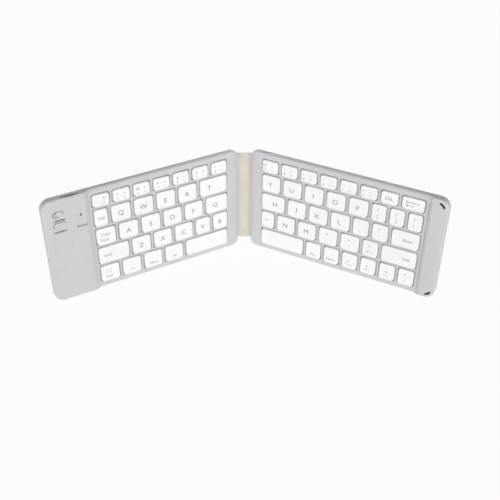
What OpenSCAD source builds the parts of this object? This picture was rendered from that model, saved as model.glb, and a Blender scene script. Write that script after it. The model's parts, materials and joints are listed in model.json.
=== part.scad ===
// Folding pocket keyboard, standing on its front edge and opened like a book.
// The fold runs up along Z, the keys face -Y and +X points to the right half.
// Every piece of a half is drawn lying flat: X runs from the fold outwards,
// Y from the front edge to the rear edge and Z from the back cover to the keys.

/* [Case] */
// Length of each half, from its fold end to its outer end
half_length = 158.8; // [150:0.1:175]
// Width of each half along the fold, which is its height as it stands
case_width = 91.2; // [88:0.1:100]
// Thickness of the case at the key bed
bed_thickness = 4.6; // [4.6:0.1:5.6]
// Height of the raised outer strips above the key bed
strip_rise = 2.0; // [2:0.1:2.6]
// Width of the left strip, which carries the switch and the button
left_strip_width = 32.7; // [31.5:0.1:38]
// Width of the right strip, which carries the bumpers
right_strip_width = 12.3; // [11.5:0.1:16]
// Radius of the corners at the outer ends
outer_corner_radius = 8; // [6:0.5:10]
// Radius of the corners beside the fold
fold_corner_radius = 6; // [4:0.5:7]

/* [Fold] */
// Angle between the two halves as they stand
opening_angle = 125.6; // [90:0.1:170]
// Gap between the two strips when the case is shut
shut_gap = 0.4; // [0.2:0.1:1]
// Thickness of the leather strip
leather_thickness = 0.8; // [0.6:0.1:1]

/* [Keys] */
// Gap between neighbouring keys of a row
key_gap = 2.4; // [2:0.1:3]
// Gap between neighbouring rows
row_gap = 1.9; // [1.8:0.1:2.4]
// Depth of the short keys in the number row
number_key_depth = 11.3; // [10:0.1:11.6]
// Distance from the front edge of the case to the first row
front_margin = 4.9; // [4:0.1:6]
// Distance from the number row to the rear edge of the case
rear_margin = 5.0; // [4:0.1:6]
// Distance from the fold end of the case to the first keys
fold_margin = 10.4; // [9.8:0.1:12]
// Distance from the last keys to the raised strip
strip_margin = 5.1; // [4.4:0.1:6]
// Height of the key tops above the key bed
key_rise = 1.2; // [1:0.1:1.5]
// How far a key goes down
key_travel = 1.1; // [0.9:0.1:1.2]
// Radius of a key's corners
key_corner_radius = 1.8; // [1.4:0.1:2.2]

/* [Hidden] */
// Each key is written as its node's name and its width in letter keys.
// Rows run from the front edge to the rear, keys from the fold outwards.
LEFT_ROWS = [
    [["left_space", 2.4], ["left_side_keys", 1], ["left_side_keys", 1],
     ["left_side_keys", 1], ["left_side_keys", 1]],
    [["key_b", 0.83], ["key_v", 0.83], ["key_c", 1], ["key_x", 1],
     ["key_z", 1], ["left_shift", 1.6]],
    [["key_g", 1.2], ["key_f", 1], ["key_d", 1], ["key_s", 1],
     ["key_a", 1], ["left_side_keys", 1]],
    [["key_t", 1.5], ["key_r", 1], ["key_e", 1], ["key_w", 1],
     ["key_q", 1], ["left_side_keys", 0.7]],
    [for (column = [1 : 7]) ["left_number_keys", 1]],
];
RIGHT_ROWS = [
    concat([["right_space", 2.4]], [for (column = [1 : 6]) ["right_side_keys", 0.84]]),
    [["right_side_keys", 0.72], ["key_n", 1], ["key_m", 1], ["right_symbol_keys", 1],
     ["right_symbol_keys", 1], ["right_side_keys", 0.83], ["right_shift", 1.8]],
    [["key_h", 1.27], ["key_j", 1], ["key_k", 1], ["key_l", 1],
     ["right_symbol_keys", 0.83], ["right_symbol_keys", 0.83], ["key_enter", 1.4]],
    [["key_y", 1], ["key_u", 1], ["key_i", 1], ["key_o", 1], ["key_p", 1],
     ["right_symbol_keys", 0.75], ["right_symbol_keys", 0.75], ["right_symbol_keys", 0.72]],
    concat([for (column = [1 : 7]) ["right_number_keys", 1]], [["key_backspace", 1.3]]),
];
LEFT_KEY_NODES = [
    "left_number_keys", "left_side_keys", "left_shift", "left_space",
    "key_q", "key_w", "key_e", "key_r", "key_t",
    "key_a", "key_s", "key_d", "key_f", "key_g",
    "key_z", "key_x", "key_c", "key_v", "key_b",
];
RIGHT_KEY_NODES = [
    "right_number_keys", "right_symbol_keys", "right_side_keys",
    "key_backspace", "key_enter", "right_shift", "right_space",
    "key_y", "key_u", "key_i", "key_o", "key_p",
    "key_h", "key_j", "key_k", "key_l", "key_n", "key_m",
];
OTHER_NODES = [
    "left_bottom_cover", "left_top_frame", "left_base_plate", "left_membrane",
    "left_domes", "left_scissors", "battery", "main_board", "usb_socket",
    "status_led", "power_switch", "connect_button",
    "right_bottom_cover", "right_top_frame", "right_base_plate", "right_membrane",
    "right_domes", "right_scissors", "bumper_pads",
    "left_leather", "right_leather", "spine", "flex_cable",
];

$fn = 32;

// Case
wall = 1.2;
floor_thickness = 1.0;
face_thickness = 1.3;
seam_height = 2.8;
edge_bevel = 0.8;
slope_width = 3.2;
crown_width = 6.5;
crown_drop = 1.3;
crown_radius = (crown_width * crown_width + crown_drop * crown_drop) / (2 * crown_drop);
strip_height = bed_thickness + strip_rise;
bed_roof = bed_thickness - face_thickness;
strip_roof = strip_height - face_thickness;
cavity_outer_radius = outer_corner_radius - wall;
cavity_fold_radius = fold_corner_radius - wall;

// Fold
fold_angle = (180 - opening_angle) / 2;
leather_inset = 5;
leather_flap = 7;
leather_slip = 0.1;
bend_gap = 0.3;
crease_gap = 0.6;
fold_end_gap = 0.6;
hinge_height = leather_thickness / 2;
spine_width = 2 * (strip_height - hinge_height) + shut_gap;
tray_start = leather_flap + leather_slip + wall;
ribbon_size = [14, 0.2];

// The depth of the open case, and the bend lines' place when it is centred
front_reach = (fold_end_gap + half_length - edge_bevel) * sin(fold_angle)
    + (strip_height - hinge_height) * cos(fold_angle);
hinge_y = (front_reach - hinge_height) / 2;

// Sheets under the keys
sheet_clearance = 0.3;
sheet_corner_radius = 1.5;
plate_thickness = 0.4;
plate_top = floor_thickness + plate_thickness;
membrane_thickness = 0.2;
membrane_top = plate_top + membrane_thickness;

// Key caps, which stay clear of the membrane when they are down
row_pitch = to_hundredth((case_width - front_margin - rear_margin - number_key_depth) / 4);
letter_key_depth = row_pitch - row_gap;
key_clearance = 0.35;
skirt_clearance = 0.4;
cap_top = bed_thickness + key_rise;
cap_bottom = membrane_top + key_travel + skirt_clearance;
cap_draft = 0.25;
cap_bevel = 0.4;
cap_wall = 0.9;
cap_roof = 1.0;
cap_ceiling = cap_top - cap_roof;

// Domes and levers under the keys
dome_height = 2.6;
dome_top = membrane_top + dome_height;
dome_radius = 2.2;
dome_tip_radius = 1.3;
scissor_length = 8.4;
scissor_width = 8.2;
scissor_bar = 0.8;
scissor_slip = 0.2;
scissor_thickness = 0.5;
scissor_lean = asin((cap_ceiling - membrane_top - scissor_thickness) / scissor_length);

// Circuit board in the rear part of the left strip, on two rails
board_gap = [0.6, 2.3];
board_clearance = 0.2;
board_size = [left_strip_width - 2 * wall - board_gap[0] - board_clearance, 26.5];
board_start = [half_length, case_width] - wall * [1, 1] - board_gap - board_size;
board_height = 2.0;
board_thickness = 0.8;
board_top = board_height + board_thickness;
rail_offsets = [3, 22];
rail_inset = 4;

// Battery in the front part of the left strip, up to the circuit board
battery_side_gap = 1.5;
battery_width = board_size[0] - battery_side_gap;
battery_thickness = 3.4;
battery_gap = 4;
battery_from_front = 8;
battery_start = [board_start[0], battery_from_front];
battery_length = board_start[1] - battery_gap - battery_start[1];
pouch_radius = 2;
pouch_fold = 0.6;

// The left membrane's tail, which runs under the circuit board
tail_size = [8, 12];
tail_margin = 2;
tail_start = [
    half_length - left_strip_width - tail_size[0] / 2,
    board_start[1] + tail_margin
];

// Controls on the left strip, placed from its outer rear corner
control_recess = 0.15;
control_clearance = 0.15;
flange_thickness = 0.6;
flange_bottom = strip_roof - flange_thickness - 0.1;
switch_from_corner = [11.6, 12.5];
switch_centre = [half_length, case_width] - switch_from_corner;
switch_slot = [8.2, 4.9];
switch_knob = [5.5, 4.6];
switch_travel = switch_slot[0] - switch_knob[0] - 2 * control_clearance;
switch_stem = [2, 2];
switch_flange = [10.8, 6.2];
switch_body = [7, 3.4];
switch_body_height = 1.6;
button_from_corner = [12.0, 21.9];
button_centre = [half_length, case_width] - button_from_corner;
button_size = [9.1, 5.7];
button_corner_radius = 2.2;
button_flange = 0.6;
button_travel = 0.4;
push_body = [3.6, 3.6];
push_body_height = 0.8;
plunger_height = 1.3;
plunger_radius = 0.9;
led_from_corner = [28.3, 17.5];
led_centre = [half_length, case_width] - led_from_corner;
led_window = [2.2, 1.0];
led_clearance = 0.05;
led_body_margin = 0.5;
led_body_height = 0.7;

// Charging socket in the rear edge of the left strip
socket_from_end = 22.4;
socket_centre = half_length - socket_from_end;
socket_size = [8.4, 2.4];
socket_slot = [7.4, 1.6];
socket_depth = 5;
socket_slot_depth = 4.2;
socket_corner_radius = 0.5;
socket_clearance = 0.05;
socket_height = board_top + socket_size[1] / 2;
plug_recess_size = [14, 3.4];
plug_recess_depth = 0.9;
socket_face = case_width - plug_recess_depth;

// Bumpers in the two outer corners of the right strip
bumper_arc_radius = 5.0;
bumper_width = 1.2;
bumper_depth = 0.6;
bumper_rise = 0.15;
bumper_angles = [18, 80];

silver = [0.82, 0.82, 0.83];
key_white = [0.97, 0.97, 0.97];
dark_steel = [0.45, 0.46, 0.48];
film_green = [0.55, 0.7, 0.62];
rubber_white = [0.88, 0.88, 0.86];
lever_white = [0.93, 0.93, 0.91];
board_green = [0.1, 0.4, 0.25];
pouch_grey = [0.7, 0.72, 0.74];
clear_white = [0.9, 0.95, 1];
leather_beige = [0.86, 0.83, 0.76];
ribbon_amber = [0.8, 0.55, 0.2];

function sum(list, last) = last < 0 ? 0 : list[last] + sum(list, last - 1);

function row_depth(row) = row < 4 ? letter_key_depth : number_key_depth;

function row_start(row) = front_margin + row * row_pitch;

function to_hundredth(value) = round(100 * value) / 100;

// Width of a key of one unit, so that the row fills the key bed
function unit_width(row, strip_width) =
    let (
        span = half_length - strip_width - strip_margin - fold_margin,
        units = [for (key = row) key[1]]
    )
    (span - (len(row) - 1) * key_gap) / sum(units, len(units) - 1);

// Distance from the fold end to the near side of one key, in whole hundredths
function key_start(row, column, strip_width) =
    let (
        units = [for (key = row) key[1]],
        keys_before = sum(units, column - 1) * unit_width(row, strip_width)
    )
    to_hundredth(fold_margin + keys_before + column * key_gap);

// Length of one key, which ends a gap before the next one starts
function key_length(row, column, strip_width) =
    key_start(row, column + 1, strip_width) - key_gap - key_start(row, column, strip_width);

// Every key of a half, as [node, x, y, length, depth]
function keys_of(rows, strip_width) = [
    for (row = [0 : len(rows) - 1], column = [0 : len(rows[row]) - 1])
        [
            rows[row][column][0],
            key_start(rows[row], column, strip_width),
            row_start(row),
            key_length(rows[row], column, strip_width),
            row_depth(row)
        ]
];

left_keys = keys_of(LEFT_ROWS, left_strip_width);
right_keys = keys_of(RIGHT_ROWS, right_strip_width);

// Placing of the halves

// Stands a flat piece up, and turns it about the right bend line
module in_right_half() {
    translate([spine_width / 2, hinge_y, 0])
        rotate([0, 0, -fold_angle])
            translate([fold_end_gap, hinge_height, 0])
                rotate([90, 0, 0])
                    children();
}

module in_left_half() {
    mirror([1, 0, 0])
        in_right_half()
            children();
}

// Shapes that the pieces share

// A rectangle whose corners at X = 0 have one radius and whose far ones have another
module round_rectangle(length, width, near_radius, far_radius) {
    translate([near_radius, 0])
        square([length - near_radius - far_radius, width]);
    translate([0, near_radius])
        square([2 * near_radius, width - 2 * near_radius]);
    translate([length - 2 * far_radius, far_radius])
        square([2 * far_radius, width - 2 * far_radius]);
    for (y = [near_radius, width - near_radius])
        translate([near_radius, y])
            circle(r = near_radius);
    for (y = [far_radius, width - far_radius])
        translate([length - far_radius, y])
            circle(r = far_radius);
}

// The same outline drawn about its own middle, with one radius
module centred_pad(size, radius) {
    translate([-size[0] / 2, -size[1] / 2])
        round_rectangle(size[0], size[1], radius, radius);
}

// An outline with two half-round ends, along X and about its own middle
module pill(length, width) {
    straight = length - width;
    square([straight, width], center = true);
    for (side = [-1, 1])
        translate([side * straight / 2, 0])
            circle(d = width);
}

// A slab whose four sides have the section edge, a list of [inset, height]
// points from the bottom up. Its near corners are at X = 0. A radius of 0
// leaves that end square and flat, to meet another piece.
module moulded_slab(length, width, near_radius, far_radius, edge) {
    top = edge[len(edge) - 1][1];
    bottom = edge[0][1];
    across = concat(edge, [for (i = [len(edge) - 1 : -1 : 0]) [width - edge[i][0], edge[i][1]]]);
    translate([near_radius, 0, 0])
        rotate([90, 0, 90])
            linear_extrude(length - near_radius - far_radius)
                polygon(across);
    if (near_radius > 0)
        slab_end(width, near_radius, edge, top, bottom);
    if (far_radius > 0)
        translate([length, 0, 0])
            mirror([1, 0, 0])
                slab_end(width, far_radius, edge, top, bottom);
}

// The rounded end of such a slab: a straight side between two turned corners
module slab_end(width, radius, edge, top, bottom) {
    translate([0, width - radius, 0])
        rotate([90, 0, 0])
            linear_extrude(width - 2 * radius)
                polygon(concat(edge, [[2 * radius, top], [2 * radius, bottom]]));
    for (corner = [[radius, 180], [width - radius, 90]])
        translate([radius, corner[0], 0])
            rotate([0, 0, corner[1]])
                rotate_extrude(angle = 90)
                    polygon(concat(
                        [for (point = edge) [radius - point[0], point[1]]],
                        [[0, top], [0, bottom]]
                    ));
}

// The outlines of all key openings of a half
module key_openings(keys) {
    radius = key_corner_radius + key_clearance;
    for (key = keys)
        translate([key[1] - key_clearance, key[2] - key_clearance])
            round_rectangle(key[3] + 2 * key_clearance, key[4] + 2 * key_clearance, radius, radius);
}

// Case

// The shallow tray that closes the back, with a seat for the leather
module bottom_cover() {
    difference() {
        moulded_slab(
            half_length, case_width, fold_corner_radius, outer_corner_radius,
            [[edge_bevel, 0], [0, edge_bevel], [0, seam_height]]
        );
        translate([tray_start, wall, floor_thickness])
            linear_extrude(seam_height)
                round_rectangle(
                    half_length - wall - tray_start, case_width - 2 * wall,
                    cavity_fold_radius, cavity_outer_radius
                );
        translate([-leather_flap, leather_inset - leather_slip, -floor_thickness])
            cube([
                2 * leather_flap + leather_slip,
                case_width - 2 * (leather_inset - leather_slip),
                leather_thickness + floor_thickness
            ]);
    }
}

module left_bottom_cover() {
    color(silver) {
        difference() {
            bottom_cover();
            plug_recess();
        }
        for (offset = rail_offsets)
            translate([board_start[0] + offset, board_start[1] + rail_inset, floor_thickness])
                cube([wall, board_size[1] - 2 * rail_inset, board_height - floor_thickness]);
    }
}

module right_bottom_cover() {
    color(silver)
        bottom_cover();
}

// The section of the raised strip's edge, from the seam up
function strip_edge() = [
    [0, seam_height],
    [0, strip_height - edge_bevel],
    [edge_bevel, strip_height]
];

// The side view of the key bed, whose top curves down towards the fold
module crowned_profile(length) {
    translate([crown_width, 0])
        square([length - crown_width, bed_thickness]);
    intersection() {
        square([2 * crown_width, bed_thickness]);
        translate([crown_width, bed_thickness - crown_radius])
            circle(r = crown_radius, $fn = 96);
    }
}

// The upper shell: a key bed and a raised strip, joined by a short slope
module top_shell(strip_width) {
    strip_start = half_length - strip_width;
    slope_start = strip_start - slope_width;
    intersection() {
        moulded_slab(
            slope_start, case_width, fold_corner_radius, 0,
            [[0, seam_height], [0, bed_thickness - edge_bevel], [edge_bevel, bed_thickness]]
        );
        translate([0, case_width, 0])
            rotate([90, 0, 0])
                linear_extrude(case_width)
                    crowned_profile(slope_start);
    }
    intersection() {
        translate([0, case_width, 0])
            rotate([90, 0, 0])
                linear_extrude(case_width)
                    polygon([
                        [slope_start, seam_height],
                        [strip_start, seam_height],
                        [strip_start, strip_height],
                        [slope_start, bed_thickness]
                    ]);
        translate([slope_start, 0, 0])
            moulded_slab(slope_width, case_width, 0, 0, strip_edge());
    }
    translate([strip_start, 0, 0])
        moulded_slab(strip_width, case_width, 0, outer_corner_radius, strip_edge());
}

// The space under the key bed, and the space above it that only the strip has
module shell_cavity(strip_width) {
    strip_inside = half_length - strip_width + wall;
    translate([tray_start, wall, seam_height])
        linear_extrude(bed_roof - seam_height)
            round_rectangle(
                half_length - wall - tray_start, case_width - 2 * wall,
                cavity_fold_radius, cavity_outer_radius
            );
    translate([strip_inside, wall, bed_roof])
        linear_extrude(strip_roof - bed_roof)
            round_rectangle(
                half_length - wall - strip_inside, case_width - 2 * wall,
                wall, cavity_outer_radius
            );
}

module top_frame(keys, strip_width) {
    difference() {
        top_shell(strip_width);
        shell_cavity(strip_width);
        translate([0, 0, seam_height])
            linear_extrude(bed_thickness)
                key_openings(keys);
    }
}

module left_top_frame() {
    color(silver)
        difference() {
            top_frame(left_keys, left_strip_width);
            translate([switch_centre[0], switch_centre[1], bed_roof])
                linear_extrude(strip_height)
                    pill(switch_slot[0], switch_slot[1]);
            translate([button_centre[0], button_centre[1], bed_roof])
                linear_extrude(strip_height)
                    centred_pad(
                        button_size + 2 * control_clearance * [1, 1],
                        button_corner_radius + control_clearance
                    );
            translate([led_centre[0], led_centre[1], bed_roof])
                rotate([0, 0, 90])
                    linear_extrude(strip_height)
                        pill(led_window[0] + 2 * led_clearance, led_window[1] + 2 * led_clearance);
            plug_recess();
            translate([socket_centre, case_width - 2 * wall, socket_height])
                rotate([-90, 0, 0])
                    linear_extrude(3 * wall)
                        centred_pad(socket_size + 2 * socket_clearance * [1, 1], socket_corner_radius);
        }
}

module right_top_frame() {
    color(silver)
        difference() {
            top_frame(right_keys, right_strip_width);
            bumper_arcs(strip_height - bumper_depth, bumper_depth + 1);
        }
}

// The shallow recess round the charging socket in the rear edge
module plug_recess() {
    translate([socket_centre, case_width - plug_recess_depth, socket_height])
        rotate([-90, 0, 0])
            linear_extrude(2 * plug_recess_depth)
                centred_pad(plug_recess_size, plug_recess_size[1] / 4);
}

// Two curved bars that follow the round corners of the right strip
module bumper_arcs(bottom, height) {
    for (side = [0, 1])
        translate([0, side * case_width, bottom])
            mirror([0, side, 0])
                translate([half_length - outer_corner_radius, outer_corner_radius, 0])
                    rotate([0, 0, -bumper_angles[1]])
                        rotate_extrude(angle = bumper_angles[1] - bumper_angles[0])
                            translate([bumper_arc_radius - bumper_width / 2, 0])
                                square([bumper_width, height]);
}

module bumper_pads() {
    color("black")
        bumper_arcs(strip_height - bumper_depth, bumper_depth + bumper_rise);
}

// Keys

// One hollow cap with a boss that rests on its dome, drawn from its near corner
module key_cap(length, depth) {
    difference() {
        moulded_slab(
            length, depth, key_corner_radius, key_corner_radius,
            [
                [0, cap_bottom],
                [cap_draft, cap_top - cap_bevel],
                [cap_draft + cap_bevel, cap_top]
            ]
        );
        translate([cap_wall, cap_wall, 0])
            cube([length - 2 * cap_wall, depth - 2 * cap_wall, cap_ceiling]);
    }
    translate([length / 2, depth / 2, dome_top])
        cylinder(r = dome_tip_radius, h = cap_ceiling + cap_roof / 2 - dome_top);
}

// All caps of one half that belong to the named node
module key_caps(keys, name) {
    color(key_white)
        for (key = keys)
            if (key[0] == name)
                translate([key[1], key[2], 0])
                    key_cap(key[3], key[4]);
}

// Puts its children under the middle of every key
module under_each(keys) {
    for (key = keys)
        translate([key[1] + key[3] / 2, key[2] + key[4] / 2, membrane_top])
            children();
}

// The rubber domes that return the keys
module domes(keys) {
    color(rubber_white)
        under_each(keys)
            cylinder(r1 = dome_radius, r2 = dome_tip_radius, h = dome_height);
}

// One leaning lever of a scissor pair: a flat ring
module scissor_lever(width, lean) {
    rotate([0, lean, 0])
        translate([0, 0, -scissor_thickness / 2])
            linear_extrude(scissor_thickness)
                difference() {
                    square([scissor_length, width], center = true);
                    square([scissor_length, width] - 2 * scissor_bar * [1, 1], center = true);
                }
}

// Two crossed levers that keep each cap level, one inside the other
module scissors(keys) {
    color(lever_white)
        under_each(keys)
            translate([0, 0, (cap_ceiling - membrane_top) / 2]) {
                scissor_lever(scissor_width, scissor_lean);
                scissor_lever(scissor_width - 2 * (scissor_bar + scissor_slip), -scissor_lean);
            }
}

// A flat sheet under all keys of a half, which ends where the raised strip starts
module key_sheet(strip_width, inset, bottom, thickness) {
    start = tray_start + inset;
    translate([start, wall + inset, bottom])
        linear_extrude(thickness)
            round_rectangle(
                half_length - strip_width - start, case_width - 2 * (wall + inset),
                cavity_fold_radius, sheet_corner_radius
            );
}

module base_plate(strip_width) {
    color(dark_steel)
        key_sheet(strip_width, sheet_clearance, floor_thickness, plate_thickness);
}

module membrane(strip_width) {
    color(film_green)
        key_sheet(strip_width, 2 * sheet_clearance, plate_top, membrane_thickness);
}

// The left membrane has a tail that runs under the main board
module left_membrane() {
    membrane(left_strip_width);
    color(film_green)
        translate([tail_start[0], tail_start[1], plate_top])
            cube([tail_size[0], tail_size[1], membrane_thickness]);
}

// Electronics in the left strip

// The circuit board with the bodies of the slide switch and the push switch
module main_board() {
    color(board_green) {
        translate([board_start[0], board_start[1], board_height])
            linear_extrude(board_thickness)
                round_rectangle(board_size[0], board_size[1], wall, cavity_outer_radius);
        translate([switch_centre[0], switch_centre[1], board_top])
            linear_extrude(switch_body_height)
                square(switch_body, center = true);
        translate([button_centre[0], button_centre[1], board_top]) {
            linear_extrude(push_body_height)
                square(push_body, center = true);
            cylinder(r = plunger_radius, h = plunger_height);
        }
    }
}

module battery() {
    color(pouch_grey)
        translate([battery_start[0], battery_start[1], floor_thickness])
            moulded_slab(
                battery_width, battery_length, pouch_radius, pouch_radius,
                [[pouch_fold, 0], [0, pouch_fold], [0, battery_thickness - pouch_fold],
                 [pouch_fold, battery_thickness]]
            );
}

module usb_socket() {
    color("silver")
        translate([socket_centre, socket_face, socket_height])
            rotate([90, 0, 0])
                difference() {
                    linear_extrude(socket_depth)
                        centred_pad(socket_size, socket_corner_radius);
                    translate([0, 0, -1])
                        linear_extrude(socket_slot_depth + 1)
                            centred_pad(socket_slot, socket_corner_radius);
                }
}

// The small lamp on the board with its light guide in the face
module status_led() {
    color(clear_white)
        translate([led_centre[0], led_centre[1], board_top])
            rotate([0, 0, 90]) {
                linear_extrude(led_body_height)
                    square(led_window + 2 * led_body_margin * [1, 1], center = true);
                linear_extrude(strip_height - control_recess - board_top)
                    pill(led_window[0], led_window[1]);
            }
}

// The sliding knob, with a flange under the face that covers its slot
module power_switch() {
    color(silver)
        translate([switch_centre[0] - switch_travel / 2, switch_centre[1], 0]) {
            translate([0, 0, board_top + switch_body_height])
                linear_extrude(flange_bottom - board_top - switch_body_height)
                    square(switch_stem, center = true);
            translate([0, 0, flange_bottom])
                linear_extrude(flange_thickness)
                    centred_pad(switch_flange, switch_flange[1] / 4);
            translate([0, 0, flange_bottom])
                linear_extrude(strip_height - control_recess - flange_bottom)
                    pill(switch_knob[0], switch_knob[1]);
        }
}

// The push button, held up against the face by its flange
module connect_button() {
    color(silver)
        translate([button_centre[0], button_centre[1], 0]) {
            translate([0, 0, board_top + plunger_height + button_travel])
                cylinder(r = plunger_radius, h = strip_roof - board_top - plunger_height - button_travel);
            translate([0, 0, strip_roof - flange_thickness])
                linear_extrude(flange_thickness)
                    centred_pad(button_size + 2 * button_flange * [1, 1], button_corner_radius);
            translate([0, 0, strip_roof - flange_thickness])
                linear_extrude(strip_height - strip_roof + flange_thickness)
                    centred_pad(button_size, button_corner_radius);
        }
}

// Fold

// The margin of the leather that is glued into the back of one half
module leather_margin() {
    color(leather_beige)
        translate([bend_gap - fold_end_gap, leather_inset, 0])
            cube([
                leather_flap + fold_end_gap - bend_gap,
                case_width - 2 * leather_inset,
                leather_thickness
            ]);
}

// The middle of the leather, between the two bend lines, with a pocket for the ribbon
module spine() {
    color(leather_beige)
        difference() {
            spine_block(spine_width - 2 * crease_gap, case_width - 2 * leather_inset, leather_thickness);
            spine_block(spine_width, ribbon_size[0], ribbon_size[1]);
        }
}

// The ribbon that joins the circuits of the two halves inside the spine
module flex_cable() {
    color(ribbon_amber)
        spine_block(spine_width - 2 * crease_gap, ribbon_size[0], ribbon_size[1]);
}

module spine_block(width, height, thickness) {
    translate([-width / 2, hinge_y - thickness / 2, (case_width - height) / 2])
        cube([width, thickness, height]);
}

in_left_half() left_bottom_cover();
in_left_half() left_top_frame();
in_left_half() base_plate(left_strip_width);  // left_base_plate
in_left_half() left_membrane();
in_left_half() domes(left_keys);  // left_domes
in_left_half() scissors(left_keys);  // left_scissors
in_left_half() battery();
in_left_half() main_board();
in_left_half() usb_socket();
in_left_half() status_led();
in_left_half() power_switch();
in_left_half() connect_button();
in_left_half() leather_margin();  // left_leather
for (name = LEFT_KEY_NODES)
    in_left_half() key_caps(left_keys, name);
in_right_half() right_bottom_cover();
in_right_half() right_top_frame();
in_right_half() base_plate(right_strip_width);  // right_base_plate
in_right_half() membrane(right_strip_width);  // right_membrane
in_right_half() domes(right_keys);  // right_domes
in_right_half() scissors(right_keys);  // right_scissors
in_right_half() bumper_pads();
in_right_half() leather_margin();  // right_leather
for (name = RIGHT_KEY_NODES)
    in_right_half() key_caps(right_keys, name);
spine();
flex_cable();
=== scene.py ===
"""The looks of a folding keyboard that stands on its front edge, opened like a book.

Pieces of a half are worked out lying flat, in millimetres: u runs from the fold end of
the case outwards, t from the front edge to the rear edge, and n from the back to the
keys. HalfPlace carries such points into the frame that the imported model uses.
"""

import json
import logging
import math
from collections.abc import Iterable, Iterator
from dataclasses import dataclass, field, replace
from enum import Enum

import bmesh
import bpy
import numpy as np
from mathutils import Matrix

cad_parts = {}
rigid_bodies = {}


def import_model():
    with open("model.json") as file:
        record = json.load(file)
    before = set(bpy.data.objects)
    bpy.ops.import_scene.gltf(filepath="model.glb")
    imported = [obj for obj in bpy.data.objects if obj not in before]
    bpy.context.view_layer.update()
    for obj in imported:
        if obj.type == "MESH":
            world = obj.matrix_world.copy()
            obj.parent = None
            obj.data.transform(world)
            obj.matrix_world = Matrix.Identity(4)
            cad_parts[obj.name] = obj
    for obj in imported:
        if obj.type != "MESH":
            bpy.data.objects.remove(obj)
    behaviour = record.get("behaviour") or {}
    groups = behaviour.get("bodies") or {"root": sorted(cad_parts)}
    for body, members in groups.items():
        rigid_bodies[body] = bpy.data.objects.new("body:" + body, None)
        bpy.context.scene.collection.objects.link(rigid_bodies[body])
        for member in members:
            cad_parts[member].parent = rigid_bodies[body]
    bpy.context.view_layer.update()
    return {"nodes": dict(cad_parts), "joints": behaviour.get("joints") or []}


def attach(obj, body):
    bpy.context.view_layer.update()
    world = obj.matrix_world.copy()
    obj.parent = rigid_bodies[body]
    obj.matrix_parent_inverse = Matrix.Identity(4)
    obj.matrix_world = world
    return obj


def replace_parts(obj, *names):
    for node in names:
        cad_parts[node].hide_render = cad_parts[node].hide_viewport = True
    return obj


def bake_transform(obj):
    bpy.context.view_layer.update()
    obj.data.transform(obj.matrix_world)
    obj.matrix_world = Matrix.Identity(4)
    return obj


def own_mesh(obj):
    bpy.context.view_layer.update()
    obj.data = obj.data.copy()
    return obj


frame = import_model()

MM = 0.001
WHITE = (1.0, 1.0, 1.0, 1.0)
log = logging.getLogger("keyboard")


class Side(Enum):
    """The two halves, as the user sees them."""

    LEFT = "left"
    RIGHT = "right"

    @property
    def sign(self) -> int:
        """Direction of the half along X."""
        return -1 if self is Side.LEFT else 1


class Grain(Enum):
    """The kinds of fine surface that a finish can have."""

    SPRAYED = "sprayed"
    MOULDED = "moulded"
    PEBBLED = "pebbled"
    BRUSHED = "brushed"


def linear(shade: tuple[float, float, float]) -> tuple[float, float, float, float]:
    """Turns a colour as it looks on a screen into light values, by the sRGB curve.

    Args:
        shade: Red, green and blue from 0 to 255.

    Returns:
        Linear red, green, blue and an alpha of 1.
    """
    levels = np.array(shade) / 255
    low = levels / 12.92
    high = ((levels + 0.055) / 1.055) ** 2.4
    return (*np.where(levels <= 0.04045, low, high).tolist(), 1.0)


class NodeBoard:
    """The node tree of a material or a world, while it is wired up."""

    def __init__(self, owner: bpy.types.Material | bpy.types.World) -> None:
        """Starts with an empty tree.

        Args:
            owner: The material or world that the tree belongs to.
        """
        owner.use_nodes = True
        self.tree = owner.node_tree
        self.tree.nodes.clear()

    def add(
        self, kind: str, inputs: dict[str | int, object] | None = None, **settings: object
    ) -> bpy.types.Node:
        """Adds a node and fills its inputs.

        Args:
            kind: The type of the node, without the ShaderNode before it.
            inputs: A value, or the socket that feeds it, for inputs by name or number.
            settings: Properties of the node, such as its operation.

        Returns:
            The node.
        """
        node = self.tree.nodes.new(f"ShaderNode{kind}")
        for name, value in settings.items():
            setattr(node, name, value)
        for name, value in (inputs or {}).items():
            if isinstance(value, bpy.types.NodeSocket):
                self.tree.links.new(value, node.inputs[name])
            else:
                node.inputs[name].default_value = value
        return node


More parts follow.
